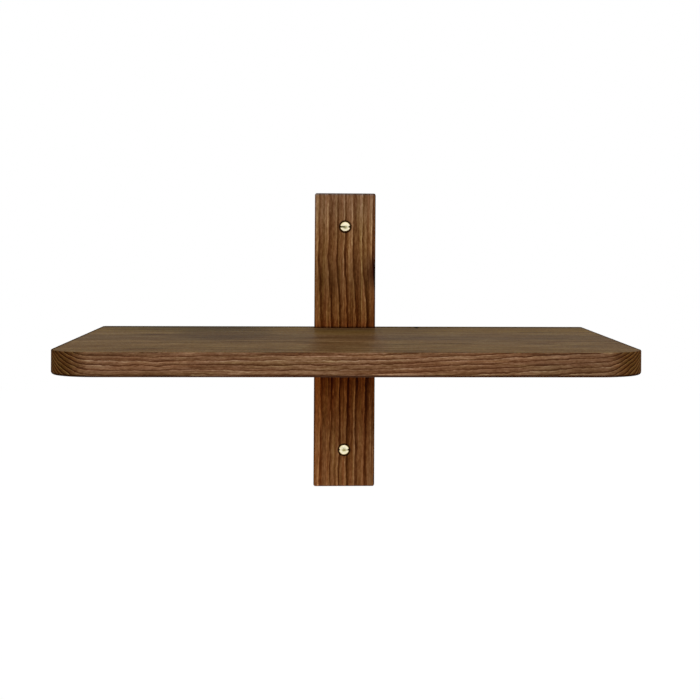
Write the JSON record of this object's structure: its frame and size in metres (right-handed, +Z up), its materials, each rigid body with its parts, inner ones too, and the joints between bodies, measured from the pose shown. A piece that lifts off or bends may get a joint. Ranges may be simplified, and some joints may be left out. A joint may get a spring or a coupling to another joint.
{
  "type": "wall shelf",
  "caption": "Hardwood wall shelf: a board with rounded front corners crosses an upright batten that slotted brass screws fix to the wall.",
  "frame": {"origin": "on the wall, on the centre line of the batten, halfway up the board's edge, which is also midway between the two wall screws", "axes": "+X along the board to the right as seen from the room, +Y into the wall, +Z up"},
  "size_m": [0.48, 0.2705, 0.289],
  "materials": {
    "shelf_wood": "satin oiled dark ring-porous hardwood",
    "batten_wood": "satin oiled dark ring-porous hardwood",
    "screw_brass": "polished brass",
    "screw_steel": "bright zinc-plated steel"
  },
  "bodies": {
    "root": {"shelf_board": "shelf_wood", "upright_batten": "batten_wood", "upper_wall_screw": "screw_brass", "lower_wall_screw": "screw_brass", "left_joint_screw": "screw_steel", "right_joint_screw": "screw_steel"}
  },
  "joints": []
}
